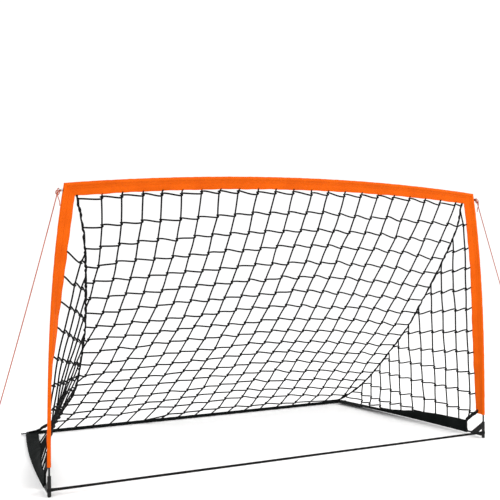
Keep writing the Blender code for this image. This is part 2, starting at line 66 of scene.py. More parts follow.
SIDE_BOW = 0.016
SKIRT_START = 0.095
SKIRT_FLAP = 0.046
SKIRT_TURN = math.radians(84.0)
STRAP_HEIGHT = 0.009
STRAP_Z = 0.0225
STRAP_LOOP_R = 0.0078
ROPE_R = 0.0015
ROPE_END_X = 1.172
ROPE_END_FORWARD = 0.080
FRONT_Y = (STRAP_LOOP_R - REAR_R - FRAME_DEPTH) / 2.0
BACK_Y = FRONT_Y + FRAME_DEPTH
SIDES = {"left": -1, "right": 1}

# Seams between the back net and the side nets, top to bottom: x outward, y from the front, z.
SEAMS = {
    "left": [(0.812, 0.017, 0.979), (0.786, 0.057, 0.905), (0.754, 0.135, 0.785), (0.724, 0.247, 0.630),
             (0.700, 0.356, 0.493), (0.684, 0.490, 0.350), (0.671, 0.610, 0.242), (0.687, 0.700, 0.160),
             (0.725, 0.827, 0.066), (0.760, 0.916, 0.017)],
    "right": [(0.812, 0.017, 0.979), (0.829, 0.060, 0.900), (0.835, 0.120, 0.810), (0.832, 0.207, 0.686),
              (0.826, 0.312, 0.548), (0.822, 0.409, 0.430), (0.813, 0.578, 0.268), (0.803, 0.723, 0.142),
              (0.780, 0.830, 0.064), (0.762, 0.916, 0.017)],
}

# The knotted net.
CORD_R = 0.0031
KNOT_CORD_R = 0.0024
KNOT_TURN_R = 0.0040      # from the middle of a cord to the middle of the turn round it
KNOT_UP = 0.0052          # a row's cord leaves this far up the crossing cord
KNOT_DOWN = 0.0049        # and comes in this far down it
STRAND_POINTS = 9         # points of a row's cord between two knots
ROWS = 18
COLUMNS = 22
COLUMN_TOP = (-0.801, 0.0721, 0.00015)      # x under the crossbar: first column, step, growth of the step
COLUMN_UPPER = (-0.690, 0.0574, 0.00057)    # the same for the two points that bend each column
COLUMN_LOWER = (-0.882, 0.0660, 0.00039)
COLUMN_BAR = (-0.979, 0.0749, 0.00043)      # and at the back bar
SIDE_ROW_HEIGHTS = [0.903, 0.805, 0.722, 0.638, 0.552, 0.455, 0.360, 0.270, 0.182, 0.100, 0.042, 0.008]
SIDE_COLUMNS = 11
SIDE_COLUMN_START = 0.075
SIDE_COLUMN_STEP = 0.0667


# ---------------------------------------------------------------- camera
def add_camera():
    data = bpy.data.cameras.new("camera")
    data.sensor_width = 36.0
    data.lens = 60.5
    camera = bpy.data.objects.new("camera", data)
    bpy.context.scene.collection.objects.link(camera)
    camera.location = (-1.526, -3.2217, 0.8337)
    camera.rotation_euler = (math.radians(90.0 - 0.571), math.radians(0.242), math.radians(-26.05))
    bpy.context.scene.camera = camera


add_camera()


# ---------------------------------------------------------------- paths of the frame
def pole_point(side, height):
    """Axis of an upright at a height."""
    x = FOOT_SPAN / 2.0 - LEAN * (height / CORNER_HEIGHT) ** LEAN_POWER
    return np.array((side * x, FRONT_Y, height))


def crossbar_point(x):
    """Axis of the crossbar at a distance from the middle."""
    rise = CROWN_RISE * (1.0 - (x / (TOP_SPAN / 2.0)) ** 2)
    return np.array((x, FRONT_Y, CORNER_HEIGHT + rise))


def side_rod_point(side, share):
    """Axis of a side rod, from the bracket at share 0 to the rear corner at share 1."""
    x = FOOT_SPAN / 2.0 + (BACK_SPAN - FOOT_SPAN) / 2.0 * share + SIDE_BOW * 4.0 * share * (1.0 - share)
    z = LEG_HEIGHT + (REAR_R - LEG_HEIGHT) * share
    return np.array((side * x, FRONT_Y + FRAME_DEPTH * share, z))


def bar_point(x):
    return np.array((x, BACK_Y, REAR_R))


def ease(value, low, high):
    share = np.clip((value - low) / (high - low), 0.0, 1.0)
    return share * share * (3.0 - 2.0 * share)


def flap_way(side, height):
    """The flap points back at the bottom of an upright and turns inward towards the top."""
    low, high = FLAP_TURN_HEIGHTS[side]
    turn = math.radians(4.0) + (FLAP_TOP_TURN - math.radians(4.0)) * float(ease(height, low, high))
    return np.array((-side * math.sin(turn), math.cos(turn), 0.0))


CROSSBAR_FLAP = np.array((0.0, math.cos(FLAP_TOP_TURN), -math.sin(FLAP_TOP_TURN)))


def skirt_flap_way(side, share):
    """A skirt stands up beside the bracket and lies down towards the rear corner."""
    turn = SKIRT_TURN * float(ease(share, 0.10, 0.85))
    return np.array((-side * math.sin(turn), 0.0, math.cos(turn)))


def unit(v):
    return v / max(float(np.linalg.norm(v)), 1e-12)


def units(v):
    return v / np.maximum(np.linalg.norm(v, axis=-1, keepdims=True), 1e-12)


def mitre_normal(side):
    """Normal of the plane halfway between the two legs of a top corner."""
    down = unit(pole_point(side, CORNER_HEIGHT - 0.045) - pole_point(side, CORNER_HEIGHT - 0.004))
    inner_x = side * TOP_SPAN / 2.0
    along = unit(crossbar_point(inner_x - side * 0.045) - crossbar_point(inner_x - side * 0.004))
    return unit(along - down)


def smooth_curve(points, count):
    """Catmull-Rom curve through the points, sampled evenly in their order."""
    points = np.array(points, float)
    ends = np.vstack([2 * points[0] - points[1], points, 2 * points[-1] - points[-2]])
    samples = []
    for i in range(count + 1):
        place_on = i * (len(points) - 1) / count
        k = min(int(place_on), len(points) - 2)
        t = place_on - k
        a, b, c, d = ends[k:k + 4]
        samples.append(0.5 * (2 * b + (c - a) * t + (2 * a - 5 * b + 4 * c - d) * t * t
                              + (3 * b - a - 3 * c + d) * t ** 3))
    return np.array(samples)


def lengths_along(points):
    return np.concatenate([[0.0], np.cumsum(np.linalg.norm(np.diff(points, axis=0), axis=1))])


def point_at(points, along, distance):
    """Point at a distance along a line whose points lie at the distances in along."""
    return np.array([np.interp(distance, along, points[:, k]) for k in range(3)])


def resampled(points, step):
    """The same line with points about step apart."""
    along = lengths_along(points)
    at = np.linspace(0.0, along[-1], max(2, int(round(along[-1] / step)) + 1))
    return np.stack([np.interp(at, along, points[:, k]) for k in range(3)], axis=1)


def waves(at, lengths, seed):
    """Smooth irregular ripple between about -1 and 1."""
    draw = random.Random(seed)
    total = np.zeros_like(np.asarray(at, float))
    for length in lengths:
        total = total + np.sin(2 * math.pi * (at / length * draw.uniform(0.85, 1.15) + draw.random()))
    return total / len(lengths)


# ---------------------------------------------------------------- materials
class Look:
    """A material whose nodes are added one by one; the Principled shader's even values are set directly."""

    def __init__(self, name, roughness=0.6, metallic=0.0, sheen=0.0, sheen_roughness=0.5, specular=0.5):
        self.material = bpy.data.materials.new(name)
        self.material.use_nodes = True
        self.tree = self.material.node_tree
        self.shader = self.tree.nodes["Principled BSDF"]
        self.set(self.shader, {"Roughness": roughness, "Metallic": metallic, "Sheen Weight": sheen,
                               "Sheen Roughness": sheen_roughness, "Specular IOR Level": specular})

    def set(self, node, values):
        for key, value in values.items():
            if isinstance(value, bpy.types.NodeSocket):
                self.tree.links.new(value, node.inputs[key])
            else:
                node.inputs[key].default_value = value

    def node(self, kind, inputs=None, **settings):
        made = self.tree.nodes.new("ShaderNode" + kind)
        for key, value in settings.items():
            setattr(made, key, value)
        self.set(made, inputs or {})
        return made

    def math(self, operation, first, second=0.0):
        return self.node("Math", {0: first, 1: second}, operation=operation).outputs[0]

    def mix(self, *parts):
        """Sum of values, each times its weight."""
        total = self.math("MULTIPLY", *parts[0])
        for part in parts[1:]:
            total = self.math("ADD", total, self.math("MULTIPLY", *part))
        return total

    def place(self):
        """Across and along the cloth or cord, from the piece's weave coordinates."""
        split = self.node("SeparateXYZ", {0: self.node("UVMap", uv_map="weave").outputs[0]})
        return split.outputs[0], split.outputs[1]

    def world(self):
        return self.node("TexCoord").outputs["Object"]

    def noise(self, scale, detail=3.0, vector=None):
        inputs = {"Scale": scale, "Detail": detail, "Vector": vector or self.world()}
        return self.node("TexNoise", inputs).outputs[0]

    def span(self, value, low, high, to_low, to_high):
        inputs = {0: value, 1: low, 2: high, 3: to_low, 4: to_high}
        return self.node("MapRange", inputs).outputs[0]

    def color(self, stops, value):
        ramp = self.node("ValToRGB", {0: value})
        elements = ramp.color_ramp.elements
        for element, (at, rgb) in zip(elements, (stops[0], stops[-1])):
            element.position = at
            element.color = (*rgb, 1.0)
        for at, rgb in stops[1:-1]:
            elements.new(at).color = (*rgb, 1.0)
        self.set(self.shader, {"Base Color": ramp.outputs[0]})

    def bump(self, height, distance, strength=1.0):
        made = self.node("Bump", {"Height": height, "Distance": distance, "Strength": strength})
        self.set(self.shader, {"Normal": made.outputs[0]})

    def rough(self, value):
        self.set(self.shader, {"Roughness": value})


def weave_height(look, pitch):
    """Plain weave: threads of two directions that pass over and under each other."""
    across, along = look.place()
    a = look.math("SINE", look.math("MULTIPLY", across, math.pi / pitch))
    b = look.math("SINE", look.math("MULTIPLY", along, math.pi / pitch))
    return look.math("ABSOLUTE", look.math("MULTIPLY", a, b))


def braid_height(look, strands, pitch):
    """Braided cover: two families of strands that wind opposite ways."""
    around, along = look.place()
    turn = look.math("MULTIPLY", around, 2 * math.pi * strands)
    run = look.math("MULTIPLY", along, 2 * math.pi / pitch)
    a = look.math("SINE", look.math("ADD", turn, run))
    b = look.math("SINE", look.math("SUBTRACT", turn, run))
    return look.math("MAXIMUM", a, b)


def cloth_look(name, stops, pitch, sheen, roughness, specular=0.06):
    """Oxford cloth: a visible weave, cloudy colour and slightly polished high spots."""
    look = Look(name, roughness, sheen=sheen, sheen_roughness=0.45, specular=specular)
    weave = weave_height(look, pitch)
    cloud = look.noise(14.0, 4.0)
    fine = look.noise(420.0, 2.0)
    look.color(stops, look.mix((cloud, 0.70), (fine, 0.18), (weave, 0.12)))
    look.rough(look.span(look.math("ADD", weave, cloud), 0.3, 1.5, roughness + 0.08, roughness - 0.10))
    crease = look.noise(55.0, 3.0)
    look.bump(look.mix((weave, 0.30), (crease, 1.4)), 0.0009, 0.7)
    return look.material


def webbing_look(name, stops, rib):
    """Woven webbing: ribs across the strap, each with fine chevrons."""
    look = Look(name, 0.80, sheen=0.005, specular=0.06)
    across, along = look.place()
    fold = look.math("ABSOLUTE", look.math("SINE", look.math("MULTIPLY", across, math.pi / 0.0032)))
    run = look.math("ADD", look.math("DIVIDE", along, rib), look.math("MULTIPLY", fold, 0.45))
    ribs = look.math("ABSOLUTE", look.math("SINE", look.math("MULTIPLY", run, math.pi)))
    dust = look.noise(160.0, 3.0)
    look.color(stops, look.mix((ribs, 0.55), (dust, 0.45)))
    look.rough(look.span(dust, 0.3, 0.7, 0.82, 0.62))
    look.bump(ribs, 0.0004, 0.8)
    return look.material


def cord_look(name, stops, strands, pitch, roughness=0.75, sheen=0.008):
    look = Look(name, roughness, sheen=sheen, specular=0.06)
    braid = braid_height(look, strands, pitch)
    fuzz = look.noise(700.0, 3.0)
    cloud = look.noise(9.0, 3.0)
    look.color(stops, look.mix((braid, 0.22), (fuzz, 0.38), (cloud, 0.40)))
    look.rough(look.span(fuzz, 0.3, 0.7, roughness + 0.1, roughness - 0.1))
    look.bump(look.math("ADD", braid, look.math("MULTIPLY", fuzz, 0.6)), 0.00035, 0.8)
    return look.material


def hard_look(name, stops, roughness, metallic=0.0, grain=300.0, grain_depth=0.0001, wear=None, specular=0.5):
    """Moulded or coated surface: fine grain, uneven polish, and edges rubbed brighter where wear is given."""
    look = Look(name, roughness, metallic=metallic, specular=specular)
    speck = look.noise(grain, 4.0)
    smudge = look.noise(22.0, 4.0)
    value = look.mix((speck, 0.35), (smudge, 0.45))
    if wear:
        edge = look.node("NewGeometry").outputs["Pointiness"]
        rubbed = look.span(edge, 0.52, 0.60, 0.0, wear)
        value = look.math("ADD", value, look.math("MULTIPLY", rubbed, smudge))
    look.color(stops, value)
    look.rough(look.span(smudge, 0.3, 0.7, roughness + 0.10, roughness - 0.08))
    look.bump(speck, grain_depth, 0.6)
    return look.material


ORANGE = cloth_look("orange_oxford_cloth", [(0.25, (0.60, 0.082, 0.0010)), (0.5, (0.68, 0.098, 0.0014)),
                                            (0.75, (0.76, 0.118, 0.0020))], 0.00055, 0.0, 0.62)
BLACK = cloth_look("black_oxford_cloth", [(0.25, (0.003, 0.0040, 0.0038)), (0.5, (0.006, 0.0075, 0.0072)),
                                          (0.75, (0.011, 0.0135, 0.0130))], 0.00055, 0.004, 0.80, 0.03)
WEBBING = webbing_look("black_webbing", [(0.2, (0.004, 0.004, 0.004)), (0.8, (0.014, 0.014, 0.014))], 0.0016)
NET_CORD = cord_look("black_net_cord", [(0.2, (0.003, 0.003, 0.003)), (0.8, (0.011, 0.011, 0.012))], 4,
                     0.0042)
ROPE = cord_look("orange_rope", [(0.2, (0.30, 0.060, 0.034)), (0.5, (0.42, 0.095, 0.058)),
                                 (0.8, (0.62, 0.240, 0.170))], 3, 0.0050)
ORANGE_THREAD = cord_look("orange_thread", [(0.2, (0.52, 0.070, 0.001)), (0.8, (0.80, 0.13, 0.003))], 2,
                          0.0012)
BLACK_THREAD = cord_look("black_thread", [(0.2, (0.004, 0.004, 0.004)), (0.8, (0.020, 0.020, 0.020))], 2,
                         0.0012)
FIBREGLASS = hard_look("black_fibreglass", [(0.2, (0.006, 0.006, 0.007)), (0.8, (0.012, 0.012, 0.013))], 0.38,
                       specular=0.25)
STEEL = hard_look("black_powder_coat", [(0.2, (0.004, 0.004, 0.004)), (0.7, (0.010, 0.010, 0.010)),
                                        (1.0, (0.10, 0.10, 0.10))], 0.45, 0.0, 900.0, 0.00015, 0.5, 0.2)
FERRULE = hard_look("drawn_steel", [(0.2, (0.34, 0.34, 0.35)), (0.8, (0.56, 0.56, 0.57))], 0.32, 1.0, 120.0)
RUBBER = hard_look("black_rubber", [(0.2, (0.010, 0.010, 0.010)), (0.8, (0.030, 0.029, 0.028))], 0.82, 0.0,
                   500.0, 0.0002, None, 0.15)
PLASTIC = hard_look("black_plastic", [(0.2, (0.008, 0.008, 0.009)), (0.8, (0.022, 0.022, 0.023))], 0.50, 0.0,
                    700.0, 0.0001, None, 0.2)


# ---------------------------------------------------------------- shape builders
class Shape:
    """Collects closed tubes and slabs, and becomes one mesh object with weave coordinates."""

    def __init__(self):
        self.verts = []
        self.faces = []
        self.uvs = []
        self.count = 0

    def ring_sweep(self, rings, uv, caps):
        """Closed rings one after another. caps lists the end faces as lists of places in a ring."""
        rows, cols = rings.shape[:2]
        index = np.arange(rows * cols).reshape(rows, cols)
        following = np.roll(index, -1, axis=1)
        quads = np.stack([index[:-1], following[:-1], following[1:], index[1:]], axis=-1).reshape(-1, 4)
        corner_uv = np.stack([uv[:-1, :-1], uv[:-1, 1:], uv[1:, 1:], uv[1:, :-1]], axis=2).reshape(-1, 4, 2)
        flat = rings.reshape(-1, 3)
        a, b, c, d = (flat[quads[:, k]] for k in range(4))
        middle = flat.mean(axis=0)
        volume = np.einsum("ij,ij->i", a - middle, np.cross(b - middle, c - middle)).sum()
        volume += np.einsum("ij,ij->i", a - middle, np.cross(c - middle, d - middle)).sum()
        faces = quads.tolist()
        uvs = corner_uv.tolist()
        for cap in caps:
            faces.append([index[0][k] for k in reversed(cap)])
            uvs.append([list(uv[0][k]) for k in reversed(cap)])
            faces.append([index[-1][k] for k in cap])
            uvs.append([list(uv[-1][k]) for k in cap])
        if volume < 0:
            faces = [face[::-1] for face in faces]
            uvs = [corners[::-1] for corners in uvs]
        self.verts.append(flat)
        self.faces += [[int(i) + self.count for i in face] for face in faces]
        self.uvs += uvs
        self.count += len(flat)

    def tube(self, points, radius, sides=8, lobes=0, lobe_depth=0.0, twist=0.0):
        """A round tube along points; lobes wind round it at twist turns per metre."""
        points = np.asarray(points, float)
        along = units(np.gradient(points, axis=0))
        side = np.empty_like(along)
        start = np.array((0.0, 0.0, 1.0)) if abs(along[0][2]) < 0.8 else np.array((0.0, 1.0, 0.0))
        current = start
        for i, way in enumerate(along):
            current = unit(current - way * current.dot(way))
            side[i] = current
        up = np.cross(along, side)
        at = lengths_along(points)
        angle = 2 * math.pi * np.arange(sides) / sides
        reach = np.broadcast_to(np.asarray(radius, float), (len(points),))[:, None]
        if lobes:
            phase = angle[None, :] * lobes + 2 * math.pi * twist * lobes * at[:, None]
            reach = reach * (1.0 - lobe_depth + lobe_depth * np.abs(np.cos(phase / 2.0)))
        else:
            reach = np.broadcast_to(reach, (len(points), sides))
        spokes = side[:, None] * np.cos(angle)[None, :, None] + up[:, None] * np.sin(angle)[None, :, None]
        rings = points[:, None] + spokes * reach[..., None]
        u = np.broadcast_to(np.arange(sides + 1) / sides, (len(points), sides + 1))
        v = np.broadcast_to(at[:, None], u.shape)
        self.ring_sweep(rings, np.stack([u, v], axis=-1), [list(range(sides))])

    def slab(self, grid, thickness, across=None, along=None):
        """A sheet of a given thickness whose middle is the grid of points: rows along it, columns across."""
        rows, cols = grid.shape[:2]
        normal = units(np.cross(np.gradient(grid, axis=1), np.gradient(grid, axis=0)))
        half = np.broadcast_to(np.asarray(thickness, float) / 2.0, (rows,))[:, None, None]
        outer = grid + normal * half
        inner = grid - normal * half
        rings = np.concatenate([outer, inner[:, ::-1]], axis=1)
        if across is None:
            steps = np.linalg.norm(np.diff(grid, axis=1), axis=2).mean(axis=0)
            across = np.concatenate([[0.0], np.cumsum(steps)])
        if along is None:
            along = lengths_along(grid[:, cols // 2])
        u = np.concatenate([across, across[::-1], across[:1]])
        u = np.broadcast_to(u, (rows, len(u)))
        v = np.broadcast_to(np.asarray(along)[:, None], u.shape)
        caps = [[k, k + 1, 2 * cols - 2 - k, 2 * cols - 1 - k] for k in range(cols - 1)]
        self.ring_sweep(rings, np.stack([u, v], axis=-1), caps)

    def finish(self, name, look, slot=None):
        mesh = bpy.data.meshes.new(name)
        mesh.from_pydata(np.concatenate(self.verts).tolist(), [], self.faces)
        layer = mesh.uv_layers.new(name="weave")
        layer.data.foreach_set("uv", [x for corners in self.uvs for uv in corners for x in uv])
        mesh.materials.append(look)
        mesh.shade_smooth()
        mesh.set_sharp_from_angle(angle=math.radians(55.0))
        made = bpy.data.objects.new(name, mesh)
        bpy.context.scene.collection.objects.link(made)
        return made


def stitches(shape, line, outward, pitch=0.0042, length=0.0030, radius=0.00026):
    """A row of separate thread stitches along a line, each dipping into the cloth at its ends."""
    at = lengths_along(line)
    for k in range(int(at[-1] / pitch)):
        middle = (k + 0.5) * pitch
        spots = []
        for share in (-0.5, -0.3, 0.0, 0.3, 0.5):
            lift = 0.00022 - 0.0016 * max(0.0, abs(share) - 0.28)
            spots.append(point_at(line, at, middle + share * length) + point_at(outward, at, middle) * lift)
        shape.tube(spots, radius, sides=5)


# ---------------------------------------------------------------- guy ropes
def guy_path(side):
    """Taut rope from the tab at the top corner to its ground loop, with the least sag."""
    top = pole_point(side, CORNER_HEIGHT - 0.016) + np.array((side * 0.0245, -0.001, -0.012))
    low = np.array((side * ROPE_END_X, FRONT_Y - ROPE_END_FORWARD, 0.034))
    sag = np.array((side * -0.004, 0.0, -0.002))
    shares = np.linspace(0.0, 1.0, 25)
    return np.array([top + (low - top) * s + sag * (4.0 * s * (1.0 - s)) for s in shares])


def tied_knot(shape, centre, axis, size):
    """A pulled-tight knot: the rope's own trefoil, drawn out along its axis."""
    axis = unit(axis)
    across = unit(np.cross(axis, np.array((0.0, 1.0, 0.1))))
    third = np.cross(axis, across)
    t = np.linspace(0.0, 2 * math.pi, 61)
    a = (1.0 + 0.45 * np.cos(3 * t)) * np.cos(2 * t)
    b = (1.0 + 0.45 * np.cos(3 * t)) * np.sin(2 * t)
    c = 0.75 * np.sin(3 * t)
    line = centre + size * (axis * (1.7 * a)[:, None] + across * (0.85 * b)[:, None]
                            + third * (0.9 * c)[:, None])
    shape.tube(line, ROPE_R * 0.95, sides=10)


def guy_rope(label, side):
    route = guy_path(side)
    line = resampled(smooth_curve(route, 240), 0.0016)
    rope_shape = Shape()
    rope_shape.tube(line, ROPE_R * 1.25, sides=12, lobes=3, lobe_depth=0.22, twist=1 / 0.016)
    rope = rope_shape.finish(label + "_rope", ROPE, "orange_rope")
    way = unit(route[0] - route[1])
    top = route[0]

    knot_shape = Shape()
    knot_centre = top + way * 0.0040
    tied_knot(knot_shape, knot_centre, way, 0.0050)
    tab = pole_point(side, CORNER_HEIGHT - 0.016) + np.array((side * (SLEEVE_R + 0.0088), 0.0, -0.0030))
    bight = [knot_centre + np.array((0.0, 0.0016, 0.0)), tab + np.array((side * 0.0010, 0.0050, -0.0035)),
             tab + np.array((-side * 0.0026, 0.0062, -0.0002)), tab + np.array((-side * 0.0034, 0.0, 0.0004)),
             tab + np.array((-side * 0.0026, -0.0062, -0.0002)),
             tab + np.array((side * 0.0010, -0.0050, -0.0035)),
             knot_centre + np.array((0.0, -0.0016, 0.0))]
    knot_shape.tube(resampled(smooth_curve(bight, 60), 0.0008), ROPE_R, sides=10, lobes=3, lobe_depth=0.2,
                    twist=60.0)
    tail = [knot_centre, knot_centre + np.array((side * 0.003, -0.006, -0.005)),
            knot_centre + np.array((side * 0.001, -0.009, -0.018)),
            knot_centre + np.array((-side * 0.004, -0.009, -0.033)),
            knot_centre + np.array((-side * 0.005, -0.008, -0.046))]
    tail_line = resampled(smooth_curve(tail, 60), 0.001)
    knot_shape.tube(tail_line, ROPE_R * np.linspace(1.0, 1.12, len(tail_line)), sides=10, lobes=3,
                    lobe_depth=0.22, twist=55.0)
    knot = knot_shape.finish(label + "_rope_knot", ROPE, "orange_rope")

    loop_shape = Shape()
    low = route[-1]
    down = unit(route[-1] - route[-2])
    tied_knot(loop_shape, low + down * 0.0030, down, 0.0030)
    centre = low + down * 0.0175
    angles = np.linspace(math.pi + 0.30, 3 * math.pi - 0.30, 36)
    ring = [centre + down * (0.0155 * math.cos(a)) + np.array((0.0, 0.010 * math.sin(a), 0.0))
            for a in angles]
    ring = [low + down * 0.003] + ring + [low + down * 0.003]
    loop_shape.tube(resampled(smooth_curve(ring, 120), 0.001), ROPE_R, sides=10, lobes=3, lobe_depth=0.2,
                    twist=60.0)
    loop = loop_shape.finish(label + "_rope_end_loop", ROPE, "orange_rope")

    for piece in (rope, knot, loop):
        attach(piece, "arch")
    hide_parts(label + "_guy_rope")
    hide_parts(label + "_guy_knot")
    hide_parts(label + "_ground_loop")


def guy_tab(label, side):
    """Webbing loop sewn to the sleeve, folded over so that the rope passes through it."""
    root = pole_point(side, CORNER_HEIGHT - 0.016) + np.array((side * (SLEEVE_R - 0.0030), 0.0, 0.0))
    profile = [(0.0, 0.0012), (0.004, 0.0022), (0.008, 0.0034), (0.0118, 0.0026), (0.0130, 0.0),
               (0.0118, -0.0026), (0.008, -0.0034), (0.004, -0.0022), (0.0, -0.0012)]
    out = np.array((side * math.cos(0.32), 0.0, -math.sin(0.32)))
    up = np.array((side * math.sin(0.32), 0.0, math.cos(0.32)))
    loop = smooth_curve([root + out * u + up * v for u, v in profile], 40)
    widths = np.linspace(-0.0045, 0.0045, 7)
    grid = loop[:, None] + np.array((0.0, 1.0, 0.0))[None, None] * widths[None, :, None]
    shape = Shape()
    shape.slab(grid, 0.0009)
    tab = shape.finish(label + "_tab", WEBBING, "black_webbing")
    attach(tab, "arch")
    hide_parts(label + "_guy_tab")


for side_label, side_sign in SIDES.items():
    guy_rope(side_label, side_sign)
    guy_tab(side_label, side_sign)


# ---------------------------------------------------------------- sewn sleeves and skirts
def sleeve_section(flap):
    """Middle of the cloth from one face of the flap round the rod to the other: (outward, across)."""
    flat_part = [(u, 0.0008) for u in np.linspace(flap, 0.0165, 14)]
    opening = [(0.0145, 0.0011), (0.0122, 0.0018), (0.0098, 0.0030)]
    turns = np.radians(np.linspace(38.0, 322.0, 19))
    round_part = [((SLEEVE_R - 0.0004) * math.cos(a), (SLEEVE_R - 0.0004) * math.sin(a)) for a in turns]
    first = flat_part + opening
    return np.array(first + round_part + [(u, -v) for u, v in first[::-1]])


def sleeve_grid(points, ways, flap, seed, calm_start=0.0, calm_end=0.0, bend=0.0020, mitres=(None, None)):
    """The cloth of a sleeve along a rod: its flap waves, puffs up between the seams and puckers at them."""
    section = sleeve_section(flap)
    at = lengths_along(points)
    total = at[-1]
    axis = units(np.gradient(points, axis=0))
    along = units(ways - axis * np.einsum("ij,ij->i", ways, axis)[:, None])
    across = np.cross(axis, along)
    calm = np.ones_like(at)
    if calm_start:
        calm = calm * ease(at, 0.0, calm_start)
    if calm_end:
        calm = calm * ease(total - at, 0.0, calm_end)
    u = np.broadcast_to(section[:, 0], (len(at), len(section))).copy()
    v = np.broadcast_to(section[:, 1], u.shape).copy()
    layer = np.sign(section[:, 1])[None, :]
    s = at[:, None]
    outer = np.clip((u - 0.016) / (flap - 0.016), 0.0, 1.0)
    edge = np.exp(-((u - (flap - 0.003)) / 0.0035) ** 2)
    root = np.exp(-((u - 0.0150) / 0.0035) ** 2)
    phase = waves(at, (0.11, 0.067), seed + 3)[:, None] * 0.9
    v += calm[:, None] * outer ** 1.6 * bend * waves(s + 0.2 * u, (0.23, 0.131, 0.077), seed)
    puff = np.sin(math.pi * np.clip((u - 0.017) / (flap - 0.005 - 0.017), 0.0, 1.0))
    v += calm[:, None] * layer * puff * (0.0006 + 0.0005 * waves(s + 0.4 * u, (0.052, 0.083), seed + 1))
    pucker = np.sin(2 * math.pi * s / 0.0105 + 5.0 * phase) * (0.6 + 0.4 * waves(s, (0.04,), seed + 4))
    v += calm[:, None] * layer * (edge + root) * 0.00032 * pucker
    slack = np.clip(-u / SLEEVE_R + 0.2, 0.0, 1.0)
    u -= calm[:, None] * slack * 0.0005 * (1.0 + waves(s, (0.09, 0.047, 0.029), seed + 5))
    u += calm[:, None] * outer ** 3 * 0.0009 * waves(s, (0.19, 0.073), seed + 2)
    grid = points[:, None] + along[:, None] * u[..., None] + across[:, None] * v[..., None]
    for mitre, from_end in zip(mitres, (at, total - at)):
        if mitre is None:
            continue
        origin, normal = mitre
        share = 1.0 - np.clip(from_end / 0.060, 0.0, 1.0)
        slide = ((origin - grid) @ normal) / (axis @ normal)[:, None]
        straight = ((origin - points) @ normal) / (axis @ normal)
        grid = grid + axis[:, None] * ((slide - straight[:, None]) * share[:, None])[..., None]
    return grid


def hem_thickness(points, plain, hem_start, hem_end, width=0.012):
    """The cloth is double for a hem's width at an open end."""
    at = lengths_along(points)
    extra = np.zeros_like(at)
    if hem_start:
        extra = np.maximum(extra, 1.0 - ease(at, width - 0.0015, width + 0.0015))
    if hem_end:
        extra = np.maximum(extra, 1.0 - ease(at[-1] - at, width - 0.0015, width + 0.0015))
    return plain * (1.0 + extra)


def section_line(grid, place_on):
    """A line along the cloth at a place in its section, with the outward direction of the cloth there."""
    normal = units(np.cross(np.gradient(grid, axis=1), np.gradient(grid, axis=0)))
    return grid[:, place_on], normal[:, place_on]


def seam_rows(grid, thickness, places):
    """Stitch rows along the cloth at the given places of the section, on its outer face."""
    shape = Shape()
    for place_on in places:
        line, normal = section_line(grid, place_on)
        opposite = grid[:, len(grid[0]) - 1 - place_on]
        flip = np.sign(np.einsum("ij,ij->i", line - opposite, normal))
        outward = normal * flip[:, None]
        stitches(shape, line + outward * (thickness / 2.0), outward)
    return shape


def end_stitches(shape, grid, row, thickness):
    """A stitch row across the cloth, along one of its rows."""
    normal = units(np.cross(np.gradient(grid, axis=1), np.gradient(grid, axis=0)))
    cols = grid.shape[1]
    for part in (slice(0, cols // 2 - 8), slice(cols // 2 + 8, cols)):
        line = grid[row, part]
        opposite = grid[row, ::-1][part]
        facing = normal[row, part]
        outward = facing * np.sign(np.einsum("ij,ij->i", line - opposite, facing))[:, None]
        stitches(shape, line + outward * thickness / 2.0, outward, pitch=0.0036, length=0.0027)


CLOTH = 0.0005
MITRE_GAP = 0.0003        # between each sleeve and the plane of the corner seam
FLAP_STITCH = 1           # place in the section of the stitch row near the flap's edge
ROOT_STITCH = 13          # and of the one that closes the sleeve beside the rod


def frame_sleeve(name, points, ways, seed, mitres, hems, look_names, node, body="arch", flap=FLAP,
                 bend=0.0020, calm=(0.0, 0.0)):
    """A cloth sleeve with its stitch rows."""
    look, thread, slot = look_names
    grid = sleeve_grid(points, ways, flap, seed, calm[0], calm[1], bend, mitres)
    thickness = hem_thickness(points, CLOTH, *hems)
    shape = Shape()
    shape.slab(grid, thickness)
    sleeve = shape.finish(name, look, slot)
    cols = grid.shape[1]
    places = [FLAP_STITCH, cols - 1 - FLAP_STITCH, ROOT_STITCH, cols - 1 - ROOT_STITCH]
    thread_shape = seam_rows(grid, CLOTH, places)
    at = lengths_along(points)
    if hems[0]:
        end_stitches(thread_shape, grid, int(np.searchsorted(at, 0.010)), 2 * CLOTH)
    if hems[1]:
        end_stitches(thread_shape, grid, int(np.searchsorted(at, at[-1] - 0.010)), 2 * CLOTH)
    threads = thread_shape.finish(name + "_stitching", thread, slot)
    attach(sleeve, body)
    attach(threads, body)
    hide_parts(node)
    return grid


def corner_seam(label, side, grid_row):
    """Raised seam where the upright's sleeve is sewn to the crossbar's."""
    shape = Shape()
    shape.tube(resampled(grid_row, 0.0015), 0.0008, sides=8)
    seam = shape.finish(label + "_corner_seam", ORANGE, "orange_cloth")
    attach(seam, "arch")


RING_STEP = 0.0055
ORANGE_SET = (ORANGE, ORANGE_THREAD, "orange_cloth")
BLACK_SET = (BLACK, BLACK_THREAD, "black_cloth")


def upright_sleeve(label, side):
    count = int((CORNER_HEIGHT - SLEEVE_BOTTOM) / RING_STEP)
    heights = np.linspace(SLEEVE_BOTTOM, CORNER_HEIGHT, count)
    points = np.array([pole_point(side, z) for z in heights])
    ways = np.array([flap_way(side, z) for z in heights])
    normal = mitre_normal(side)
    apex = pole_point(side, CORNER_HEIGHT)
    grid = frame_sleeve(label + "_upright_cloth", points, ways, 20 + side,
                        (None, (apex - normal * MITRE_GAP, normal)), (True, False), ORANGE_SET,
                        label + "_sleeve",
                        calm=(0.0, 0.05))
    corner_seam(label, side, grid[-1])


